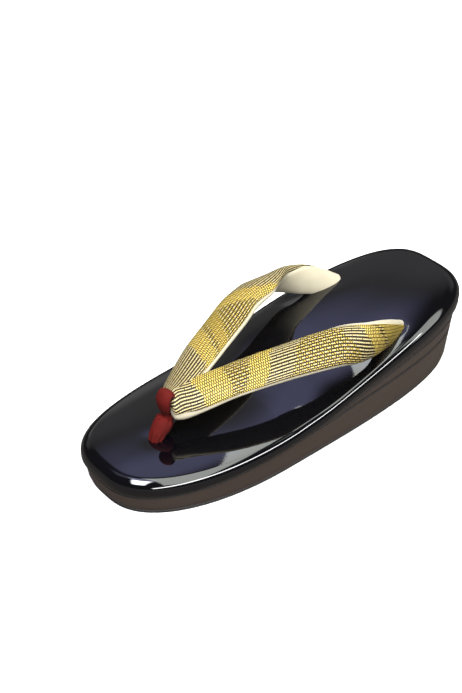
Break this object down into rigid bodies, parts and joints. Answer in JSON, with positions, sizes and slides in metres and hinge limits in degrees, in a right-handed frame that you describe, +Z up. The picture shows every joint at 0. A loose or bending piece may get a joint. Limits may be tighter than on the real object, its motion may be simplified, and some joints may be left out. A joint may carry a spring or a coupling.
{
  "type": "zori sandal",
  "caption": "Left zori: padded glossy top on a platform that rises to the heel in stacked layers, with a padded brocade thong and a cloth toe loop.",
  "frame": {"origin": "on the floor, under the middle of the sandal's box", "axes": "+Z up, -Y towards the toe, +X towards the outer side of a left foot"},
  "size_m": [0.0858, 0.24, 0.0644],
  "materials": {
    "sole_rubber": "matt black sole sheet",
    "side_enamel": "dark brown-black enamelled covering, glossy",
    "pad_enamel": "black enamelled covering over padding, mirror gloss",
    "strap_brocade": "gold ribbed brocade on the face, cream cloth lining below",
    "loop_cloth": "red soft cloth, gathered"
  },
  "bodies": {
    "root": {"outsole": "sole_rubber", "base_layer": "side_enamel", "lower_heel_wedge": "side_enamel", "upper_heel_wedge": "side_enamel", "padded_top": "pad_enamel", "thong_straps": "strap_brocade", "toe_loop": "loop_cloth"}
  },
  "joints": []
}
